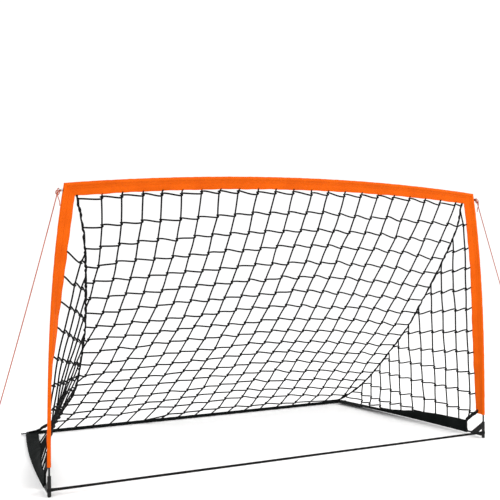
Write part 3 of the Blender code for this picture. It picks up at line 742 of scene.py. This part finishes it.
def crossbar_sleeve():
    count = int(TOP_SPAN / RING_STEP)
    xs = np.linspace(-TOP_SPAN / 2.0, TOP_SPAN / 2.0, count)
    points = np.array([crossbar_point(x) for x in xs])
    ways = np.tile(CROSSBAR_FLAP, (len(points), 1))
    mitres = []
    for side in (-1, 1):
        normal = mitre_normal(side)
        mitres.append((pole_point(side, CORNER_HEIGHT) + normal * MITRE_GAP, normal))
    frame_sleeve("crossbar_cloth", points, ways, 31, mitres, (False, False), ORANGE_SET, "crossbar_sleeve",
                 calm=(0.05, 0.05))


def skirt(label, side):
    start = SKIRT_START / FRAME_DEPTH
    end = 1.0 - (REAR_LEG - 0.010) / FRAME_DEPTH
    count = int((end - start) * FRAME_DEPTH / RING_STEP)
    shares = np.linspace(start, end, count)
    points = np.array([side_rod_point(side, s) for s in shares])
    ways = np.array([skirt_flap_way(side, s) for s in shares])
    frame_sleeve(label + "_skirt_cloth", points, ways, 40 + side, (None, None), (True, True), BLACK_SET,
                 label + "_skirt", "base", SKIRT_FLAP,
                 0.0026)


def bar_sleeve():
    """Round cloth sleeve of the back bar, a little uneven, with its lap seam on the net's side."""
    reach = BACK_SPAN / 2.0 - REAR_LEG + 0.006
    xs = np.linspace(-reach, reach, int(2 * reach / RING_STEP))
    turns = np.linspace(0.0, 2 * math.pi, 29) + math.radians(60.0)
    s = xs[:, None]
    swell = 0.00035 * waves(s, (0.083, 0.049, 0.031), 51)
    swell = swell + 0.0002 * np.sin(3 * turns)[None, :] * waves(s, (0.06,), 52)
    radius = REAR_R - 0.0003 - 0.0002 + swell
    y = BACK_Y + np.cos(turns)[None, :] * radius
    z = REAR_R + np.sin(turns)[None, :] * radius
    grid = np.stack([np.broadcast_to(s, y.shape), y, z], axis=-1)
    shape = Shape()
    shape.slab(grid, CLOTH)
    sleeve = shape.finish("back_bar_cloth", BLACK, "black_cloth")
    lap_turns = np.radians(np.linspace(38.0, 84.0, 7))
    lap_radius = REAR_R + 0.0003 + swell[:, :7]
    lap = np.stack([np.broadcast_to(s, lap_radius.shape), BACK_Y - np.cos(lap_turns) * lap_radius,
                    REAR_R + np.sin(lap_turns) * lap_radius], axis=-1)
    seam_shape = Shape()
    seam_shape.slab(lap, CLOTH)
    lap_seam = seam_shape.finish("back_bar_lap_seam", BLACK, "black_cloth")
    thread_shape = Shape()
    normal = units(lap[:, 3] - np.array([bar_point(x) for x in xs]))
    stitches(thread_shape, lap[:, 3] + normal * CLOTH / 2.0, normal)
    threads = thread_shape.finish("back_bar_stitching", BLACK_THREAD, "black_cloth")
    for piece in (sleeve, lap_seam, threads):
        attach(piece, "base")
    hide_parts("back_bar_sleeve")


for side_label, side_sign in SIDES.items():
    upright_sleeve(side_label, side_sign)
    skirt(side_label, side_sign)
crossbar_sleeve()
bar_sleeve()


# ---------------------------------------------------------------- webbing
def strap_grid(line, faces, width, columns=7):
    """Middle surface of a strap: its width lies along faces, square to the line."""
    along = units(np.gradient(line, axis=0))
    across = units(faces - along * np.einsum("ij,ij->i", faces, along)[:, None])
    offsets = np.linspace(-width / 2.0, width / 2.0, columns)
    return line[:, None] + across[:, None] * offsets[None, :, None]


def webbing(name, line, faces, width, thickness):
    shape = Shape()
    shape.slab(strap_grid(line, faces, width), thickness)
    return shape.finish(name, WEBBING, "black_webbing")


def skirt_strap(label, side):
    """Webbing sewn down the skirt's front edge, then up to the lower corner of the upright's sleeve."""
    share = SKIRT_START / FRAME_DEPTH
    up_way = skirt_flap_way(side, share)
    rod = side_rod_point(side, share)
    shift = np.array((-side * 0.0016, 0.004, 0.0))
    corner = rod + up_way * SKIRT_FLAP
    high = pole_point(side, SLEEVE_BOTTOM + 0.004) + flap_way(side, SLEEVE_BOTTOM) * (FLAP - 0.004)
    lower = [rod + up_way * h + shift for h in (0.004, 0.018, 0.032, 0.041)]
    bend = [corner + np.array((-side * 0.0019, -0.0005, 0.0045))]
    rise = [corner + (high - corner) * s + np.array((-side * 0.0019, 0.0, 0.004 * math.sin(math.pi * s)))
            for s in (0.3, 0.5, 0.7, 0.9)]
    top = [high + np.array((-side * 0.0017, -0.003, 0.006)), high + np.array((-side * 0.0017, -0.006, 0.013))]
    line = resampled(smooth_curve(lower + bend + rise + top, 120), 0.0015)
    faces = np.tile(np.array((side * 0.3, 1.0, 0.45)), (len(line), 1))
    strap = webbing(label + "_strap", line, faces, 0.017, 0.0013)
    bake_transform(strap)
    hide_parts(label + "_skirt_strap")


def peg_loop(label, side):
    """Webbing tab folded into a loop at the rear corner, for a ground peg."""
    corner = side_rod_point(side, 1.0)
    root = corner + np.array((side * (REAR_R - 0.0002), 0.0, 0.0))
    profile = [(0.0, 0.0010), (0.006, 0.0012), (0.012, 0.0020), (0.0175, 0.0022), (0.0200, 0.0),
               (0.0175, -0.0022), (0.012, -0.0020), (0.006, -0.0012), (0.0, -0.0010)]
    loop = smooth_curve([root + np.array((side * u, 0.0, v)) for u, v in profile], 40)
    faces = np.tile(np.array((0.0, 1.0, 0.0)), (len(loop), 1))
    tab = webbing(label + "_peg_tab", loop, faces, 0.010, 0.0009)
    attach(tab, "base")
    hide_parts(label + "_peg_loop")


def front_strap():
    """Flat strap along the ground between the brackets, looped round each tube and sewn back on itself."""
    reach = FOOT_SPAN / 2.0
    radius = TUBE_R + 0.0008
    shape = Shape()
    thread_shape = Shape()
    for side in (-1, 1):
        centre = np.array((side * reach, FRONT_Y, STRAP_Z))
        turns = np.linspace(math.radians(150.0), -math.radians(150.0), 30)
        loop = [centre + np.array((side * radius * math.cos(a), radius * math.sin(a), 0.0)) for a in turns]
        lap = [centre + np.array((-side * d, 0.0021 * (1.0 - ease(d, 0.006, 0.030)) * 1.8 + 0.0007, 0.0))
               for d in (0.0115, 0.020, 0.035, 0.050, 0.062)]
        back = [centre + np.array((-side * d, -0.0021 * (1.0 - ease(d, 0.006, 0.030)) * 1.8 - 0.0005, 0.0))
                for d in (0.062, 0.050, 0.035, 0.020, 0.0115)]
        line = resampled(smooth_curve(back + loop[::-1] + lap, 300), 0.0015)
        faces = np.tile(np.array((0.0, 0.0, 1.0)), (len(line), 1))
        shape.slab(strap_grid(line, faces, STRAP_HEIGHT), 0.0009)
        for low, high in ((-0.003, -0.003), (0.003, 0.003), (-0.003, 0.003), (0.003, -0.003)):
            row = np.array([centre + np.array((-side * (0.032 + 0.026 * t), -0.0011, low + (high - low) * t))
                            for t in np.linspace(0.0, 1.0, 9)])
            outward = np.tile(np.array((0.0, -1.0, 0.0)), (len(row), 1))
            stitches(thread_shape, row, outward, pitch=0.003, length=0.0022)
    xs = np.linspace(-reach + 0.034, reach - 0.034, 260)
    line = np.array([(x, FRONT_Y - 0.0001 + 0.0004 * math.sin(9.0 * x), STRAP_Z) for x in xs])
    roll = 0.10 * waves(xs, (0.9, 0.47), 61)
    faces = np.stack([np.zeros_like(xs), np.sin(roll), np.cos(roll)], axis=1)
    shape.slab(strap_grid(line, faces, STRAP_HEIGHT), 0.0009)
    strap = shape.finish("ground_strap", WEBBING, "black_webbing")
    threads = thread_shape.finish("ground_strap_stitching", BLACK_THREAD, "black_webbing")
    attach(strap, "base")
    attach(threads, "base")
    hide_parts("front_strap")


for side_label, side_sign in SIDES.items():
    skirt_strap(side_label, side_sign)
    peg_loop(side_label, side_sign)
front_strap()


# ---------------------------------------------------------------- knotted nets
class Seam:
    """Line where the back net and a side net are laced together."""

    def __init__(self, label, side):
        line = smooth_curve([(side * x, FRONT_Y + y, z) for x, y, z in SEAMS[label]], 240)
        self.line = line
        self.at = lengths_along(line)
        self.length = self.at[-1]

    def by_share(self, share):
        return point_at(self.line, self.at, share * self.length)

    def at_height(self, z):
        """Share along the seam at a height; heights fall from its start to its end."""
        return float(np.interp(-z, -self.line[:, 2], self.at)) / self.length

    def at_depth(self, y):
        return float(np.interp(y, self.line[:, 1], self.at)) / self.length


LEFT_SEAM = Seam("left", -1)
RIGHT_SEAM = Seam("right", 1)


def back_point(x, v):
    """Point of the back net at a place across and a share v of the way from crossbar to bar."""
    a = LEFT_SEAM.by_share(v)
    b = RIGHT_SEAM.by_share(v)
    share = np.clip((x - a[0]) / (b[0] - a[0]), 0.0, 1.0)
    rise = 4.0 * share * (1.0 - share)
    at_top = max(0.0, 1.0 - v / 0.35)
    lift = np.array((0.0, -0.006 * math.sin(math.pi * v) * rise, rise * (CROWN_RISE - 0.004) * at_top))
    point = a + (b - a) * share + lift
    point[0] = x
    return point


def column_x(column, v):
    """Columns hang nearly straight under the crossbar and drift to the left on the way down."""
    along = (COLUMN_TOP, COLUMN_UPPER, COLUMN_LOWER, COLUMN_BAR)
    top, upper, lower, bar = (a + b * column + c * column * column for a, b, c in along)
    up = 1.0 - v
    return top * up ** 3 + upper * 3.0 * v * up * up + lower * 3.0 * v * v * up + bar * v ** 3


def row_v(row, t):
    """Share down the net of a row at a share t of the way across: rows sag towards both seams."""
    level = 0.0060 + 0.0509 * row + 0.00015 * row * row
    level += 0.016 if row == ROWS - 1 else 0.0
    level -= 0.006 + 0.010 * t if row == 0 else 0.0
    left = 0.0544 * (1.0 - math.exp(-row / 1.5)) * max(0.0, (0.55 - t) / 0.55) ** 1.2
    right = 0.0728 * (1.0 - math.exp(-row / 4.0)) * max(0.0, (t - 0.55) / 0.45) ** 1.4
    return level + left + right


def strand(start, end, start_way, end_way, count=STRAND_POINTS):
    """A slack strand between two knots: a Hermite curve without its two end points."""
    reach = float(np.linalg.norm(end - start))
    t = np.linspace(0.0, 1.0, count + 2)[1:-1, None]
    h00, h10 = 2 * t ** 3 - 3 * t ** 2 + 1, t ** 3 - 2 * t ** 2 + t
    h01, h11 = -2 * t ** 3 + 3 * t ** 2, t ** 3 - t ** 2
    return h00 * start + h10 * start_way * reach + h01 * end + h11 * end_way * reach


def hitch(centre, crossing, run, facing, rise_in, rise_out):
    """One turn of a cord round the cord that it crosses, climbing from rise_in to rise_out along it."""
    crossing = unit(crossing)
    run = unit(run - crossing * run.dot(crossing))
    out = np.cross(run, crossing)
    if out.dot(facing) < 0:
        out = -out
    angles = np.linspace(0.0, 2 * math.pi, 11)
    climb = np.linspace(rise_in, rise_out, 11)
    return [centre + crossing * c + (out * math.cos(a) + run * math.sin(a)) * KNOT_TURN_R
            for a, c in zip(angles, climb)]


class Knot:
    """A crossing of two net cords: its place, the way of the cord that runs down, and the net's facing."""

    def __init__(self, place, down, facing):
        self.place = place
        self.down = unit(down)
        self.facing = facing

    def turn(self, run):
        return hitch(self.place, self.down, run, self.facing, KNOT_DOWN, -KNOT_UP)


def row_cord(shape, knots, start, end, draw, slack=0.26):
    """One cord through a row of knots, with a strand that hangs a little slack between each two."""
    line = [start]
    radii = [CORD_R]
    spots = [start] + [k.place for k in knots] + [end]
    turns = []
    for i, knot in enumerate(knots):
        turns.append(knot.turn(spots[i + 2] - spots[i]))
    before = start
    for i in range(len(knots) + 1):
        after = turns[i][0] if i < len(knots) else end
        straight = unit(after - before)
        bow = knots[min(i, len(knots) - 1)].down * draw.uniform(-slack, slack * 0.25)
        bow_end = knots[min(i, len(knots) - 1)].down * draw.uniform(-slack * 1.3, 0.0)
        line += list(strand(before, after, straight * 0.95 + bow, straight * 0.95 + bow_end))
        radii += [CORD_R] * STRAND_POINTS
        if i < len(knots):
            line += turns[i]
            radii += [KNOT_CORD_R] * len(turns[i])
            before = turns[i][-1]
    line.append(end)
    radii.append(CORD_R)
    shape.tube(line, np.array(radii))


def column_cord(shape, spots, draw):
    """One cord straight through its knots, swelling a little inside each."""
    line = [spots[0]]
    radii = [CORD_R]
    for a, b in zip(spots[:-1], spots[1:]):
        side = np.cross(b - a, np.array((0.0, -0.6, 0.8)))
        bow = unit(side) * draw.uniform(-0.0016, 0.0016)
        for s in (0.08, 0.2, 0.35, 0.5, 0.65, 0.8, 0.92):
            line.append(a + (b - a) * s + bow * math.sin(math.pi * s))
            radii.append(CORD_R)
        line.append(b)
        radii.append(CORD_R * 1.12)
    shape.tube(line, np.array(radii))


def lacing(shape, points, draw, spread=0.0022, pitch=0.055, strands=2):
    """Cords twisted together along a seam, looser in some places than in others."""
    line = resampled(points, 0.004)
    at = lengths_along(line)
    along = units(np.gradient(line, axis=0))
    side = units(np.cross(along, np.array((0.3, 1.0, 0.4))))
    up = np.cross(along, side)
    for k in range(strands):
        phase = 2 * math.pi * k / strands + draw.uniform(0.0, 1.0)
        wander = waves(at, (0.19, 0.083), draw.randrange(1000)) * 2.0
        reach = spread * (1.0 + 0.5 * waves(at, (0.13, 0.071), draw.randrange(1000)))
        angle = 2 * math.pi * at / pitch + phase + wander
        shape.tube(line + side * (np.cos(angle) * reach)[:, None]
                   + up * (np.sin(angle) * reach)[:, None], CORD_R)


BACK_FACING = unit(np.array((0.0, -0.7, -0.7)))


def row_place(row, column):
    """Where a row crosses a column: x across and share v down."""
    v = (row + 0.5) / ROWS
    for _ in range(12):
        x = column_x(column, v)
        a, b = LEFT_SEAM.by_share(min(v, 1.0))[0], RIGHT_SEAM.by_share(min(v, 1.0))[0]
        v = row_v(row, min(max((x - a) / (b - a), 0.0), 1.0))
    return x, v, x - a, b - x


def back_net():
    draw = random.Random(11)
    shape = Shape()
    knots = {}
    for row in range(ROWS):
        for column in range(COLUMNS):
            x, v, from_left, from_right = row_place(row, column)
            jitter = [draw.uniform(-1.0, 1.0) for _ in range(3)]
            if from_left < 0.014 or from_right < 0.010 or v > 0.978 or (row == ROWS - 1 and column < 10):
                continue
            step = 0.010
            below = back_point(column_x(column, v + step), v + step)
            above = back_point(column_x(column, v - step), v - step)
            place = back_point(x + 0.0038 * jitter[0], max(v + 0.0028 * jitter[1], 0.0))
            place = place + BACK_FACING * 0.004 * jitter[2]
            knots[row, column] = Knot(place, below - above, BACK_FACING)
    for row in range(ROWS):
        here = [knots[row, c] for c in range(COLUMNS) if (row, c) in knots]
        if row < ROWS - 1:
            start = LEFT_SEAM.by_share(row_v(row, 0.0))
        else:
            start = bar_point(column_x(9, 1.0)) + np.array((0.0, -0.002, REAR_R - 0.002))
        row_cord(shape, here, start, RIGHT_SEAM.by_share(min(row_v(row, 1.0), 0.99)), draw)
    for column in range(COLUMNS):
        rows = [r for r in range(ROWS) if (r, column) in knots]
        if not rows:
            continue
        spots = [knots[r, column].place for r in rows]
        if rows[0] == 0:
            x = column_x(column, 0.0)
            spots.insert(0, crossbar_point(x) + CROSSBAR_FLAP * (FLAP - 0.004))
        else:
            spots.insert(0, RIGHT_SEAM.by_share(row_v(rows[0] - 0.6, 1.0)))
        if rows[-1] >= ROWS - 2:
            spots.append(bar_point(column_x(column, 1.0)) + np.array((0.0, -0.002, REAR_R - 0.002)))
        else:
            spots.append(LEFT_SEAM.by_share(row_v(rows[-1] + 0.7, 0.0)))
        column_cord(shape, spots, draw)
    lacing(shape, seam_run("left"), draw, 0.0022, 0.060, 2)
    lacing(shape, seam_run("right"), draw, 0.0017, 0.070, 2)
    gathered = resampled(LEFT_SEAM.line, 0.004)
    gathered = np.vstack([gathered[int(len(gathered) * 0.90):], seam_run("left")[-1:]])
    for k in range(2):
        shift = np.array((0.003 * k - 0.006, -0.002 * k, 0.003 * k))
        lacing(shape, gathered + shift, draw, 0.0022, 0.16, 1)
    net = shape.finish("back_netting", NET_CORD, "black_net")
    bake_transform(net)
    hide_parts("back_net")


def seam_run(label):
    """A seam with its two ends led into the cloth that holds them."""
    side = SIDES[label]
    line = (LEFT_SEAM if side < 0 else RIGHT_SEAM).line
    x = side * (TOP_SPAN / 2.0 - 0.041)
    head = crossbar_point(x) + CROSSBAR_FLAP * (FLAP - 0.003)
    foot = side_rod_point(side, 1.0) + np.array((-side * 0.010, -0.006, 0.005))
    return np.vstack([head, line, foot])


def side_net(label, side):
    draw = random.Random(70 + side)
    seam = LEFT_SEAM if side < 0 else RIGHT_SEAM
    shape = Shape()
    facing = np.array((-side, 0.0, 0.0))
    lean, fall = (-0.13, 0.34) if side < 0 else (0.048, 0.20)

    def front(z):
        return pole_point(side, z) + flap_way(side, z) * (FLAP - 0.003)

    def low(y):
        share = float(np.clip((y - FRONT_Y) / FRAME_DEPTH, SKIRT_START / FRAME_DEPTH, 0.97))
        return side_rod_point(side, share) + skirt_flap_way(side, share) * (SKIRT_FLAP - 0.003)

    def place(y, z):
        """Net between the upright's flap, the skirt's edge and the seam, pulled towards the seam."""
        a, b = front(z), seam.by_share(seam.at_height(z))
        c, d = low(y), seam.by_share(seam.at_depth(y))
        across = np.clip((y - a[1]) / max(b[1] - a[1], 1e-3), 0.0, 1.0)
        upward = np.clip((z - c[2]) / max(d[2] - c[2], 1e-3), 0.0, 1.0)
        x_row = a[0] + (b[0] - a[0]) * across
        x_column = c[0] + (d[0] - c[0]) * upward
        to_front = max(y - a[1], 1e-3)
        to_low = max(z - c[2], 1e-3)
        return np.array(((x_row * to_low + x_column * to_front) / (to_low + to_front), y, z))

    def row_height(i, depth):
        """Rows lie level near the ground and fall towards the seam higher up."""
        start = SIDE_ROW_HEIGHTS[i]
        return start + (0.045 - fall * float(ease(start, 0.12, 0.62))) * depth

    def column_depth(j, z):
        """The right net's first columns lean forward on the way up; all of the left net's lean back."""
        if side < 0:
            return SIDE_COLUMN_START - 0.050 + SIDE_COLUMN_STEP * j - lean * z
        return SIDE_COLUMN_START + SIDE_COLUMN_STEP * j - lean * z * float(np.clip((7 - j) / 4.0, 0.0, 1.0))

    def seam_share(i):
        """Where a row meets the seam."""
        heights = np.array([row_height(i, p[1] - FRONT_Y) for p in seam.line])
        below = np.nonzero(seam.line[:, 2] <= heights)[0]
        return float(seam.at[below[0]] / seam.length) if len(below) else 0.99

    def column_head(j, z):
        """Where a column ends above its highest knot: on the upright's sleeve or on the seam."""
        for height in np.arange(z + 0.012, 1.0, 0.004):
            y = FRONT_Y + column_depth(j, height)
            if y < front(height)[1] + 0.002:
                return front(height)
            if y > seam.by_share(seam.at_height(height))[1] - 0.004:
                return seam.by_share(seam.at_height(height))
        return seam.by_share(0.02)

    knots = {}
    lowest = len(SIDE_ROW_HEIGHTS) if side > 0 else len(SIDE_ROW_HEIGHTS) - 2
    for i in range(lowest):
        for j in range(SIDE_COLUMNS):
            depth = SIDE_COLUMN_STEP * (j + 1)
            for _ in range(4 if side < 0 else 1):
                depth = column_depth(j, row_height(i, depth))
            y, z = FRONT_Y + depth, row_height(i, depth)
            jitter = [draw.uniform(-1.0, 1.0) for _ in range(3)]
            edge = seam.by_share(seam_share(i))
            if y > edge[1] - 0.010 or y < front(z)[1] + 0.006 or z < low(y)[2] + 0.010:
                continue
            spot = place(y + 0.0035 * jitter[0], z + 0.0035 * jitter[1]) + facing * 0.003 * jitter[2]
            knots[i, j] = Knot(spot, np.array((0.0, 0.04, -1.0)), facing)
    for i, start_height in enumerate(SIDE_ROW_HEIGHTS):
        here = [knots[i, j] for j in range(SIDE_COLUMNS) if (i, j) in knots]
        if not here:
            continue
        start = front(start_height) if start_height > SLEEVE_BOTTOM else low(here[0].place[1] - 0.055)
        row_cord(shape, here, start, seam.by_share(min(seam_share(i), 0.985)), draw)
    for j in range(SIDE_COLUMNS):
        rows = [i for i in range(len(SIDE_ROW_HEIGHTS)) if (i, j) in knots]
        if not rows:
            continue
        places = [knots[i, j].place for i in rows]
        if side < 0:
            head = column_head(j, places[0][2])
        else:
            head = seam.by_share(seam.at_depth(places[0][1] - 0.004))
        foot = low(FRONT_Y + column_depth(j, 0.0) + 0.002)
        column_cord(shape, [head] + places + [foot], draw)
    net = shape.finish(label + "_side_netting", NET_CORD, "black_net")
    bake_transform(net)
    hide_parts(label + "_net")


back_net()
for side_label, side_sign in SIDES.items():
    side_net(side_label, side_sign)

# ---------------------------------------------------------------- looks of the carried-over CAD pieces
NODE_LOOKS = {
    "corner_bracket": STEEL, "foot_cap": RUBBER, "side_rod_front": FIBREGLASS, "side_rod_rear": FIBREGLASS,
    "side_ferrule": FERRULE, "rear_elbow": PLASTIC, "upright_pole_lower": FIBREGLASS,
    "upright_pole_upper": FIBREGLASS, "upright_ferrule": FERRULE, "top_elbow": PLASTIC,
}
SINGLE_LOOKS = {
    "back_bar_left": FIBREGLASS, "back_bar_right": FIBREGLASS, "back_bar_ferrule": FERRULE,
    "crossbar_pole_left": FIBREGLASS, "crossbar_pole_middle": FIBREGLASS, "crossbar_pole_right": FIBREGLASS,
    "crossbar_ferrule_left": FERRULE, "crossbar_ferrule_right": FERRULE,
}
for side_label in SIDES:
    SINGLE_LOOKS.update({f"{side_label}_{stem}": look for stem, look in NODE_LOOKS.items()})
for node_name, look in SINGLE_LOOKS.items():
    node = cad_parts[node_name]
    node.data.materials.clear()
    node.data.materials.append(look)


# ---------------------------------------------------------------- floor, light
def floor_look():
    look = Look("pale_floor", 0.9, specular=0.1)
    look.color([(0.3, (0.96, 0.96, 0.96)), (0.7, (0.975, 0.975, 0.975))], look.noise(1.5, 2.0))
    return look.material


def add_stage():
    bpy.ops.mesh.primitive_circle_add(vertices=96, radius=14.0, fill_type="NGON",
                                      location=(0.0, 0.0, -0.0005))
    floor = bpy.context.object
    floor.name = "floor"
    floor.data.materials.append(floor_look())


def add_light(name, location, target, size, power, color):
    data = bpy.data.lights.new(name, "AREA")
    data.shape = "DISK"
    data.size = size
    data.energy = power
    data.color = color
    light = bpy.data.objects.new(name, data)
    bpy.context.scene.collection.objects.link(light)
    light.location = location
    light.rotation_euler = (Vector(target) - Vector(location)).to_track_quat("-Z", "Y").to_euler()


def add_world():
    world = bpy.data.worlds.new("studio")
    world.use_nodes = True
    background = world.node_tree.nodes["Background"]
    background.inputs["Color"].default_value = (1.0, 1.0, 1.0, 1.0)
    background.inputs["Strength"].default_value = 1.08
    bpy.context.scene.world = world


add_stage()
add_light("key", (3.6, -4.2, 4.2), (0.2, 0.0, 0.5), 3.5, 190.0, (1.0, 0.985, 0.96))
add_light("fill", (-4.5, -2.6, 3.0), (0.0, 0.0, 0.5), 4.0, 60.0, (0.97, 0.985, 1.0))
add_world()
bpy.context.scene.view_settings.view_transform = "Standard"

# ---------------------------------------------------------------- the closing line
bpy.context.view_layer.update()
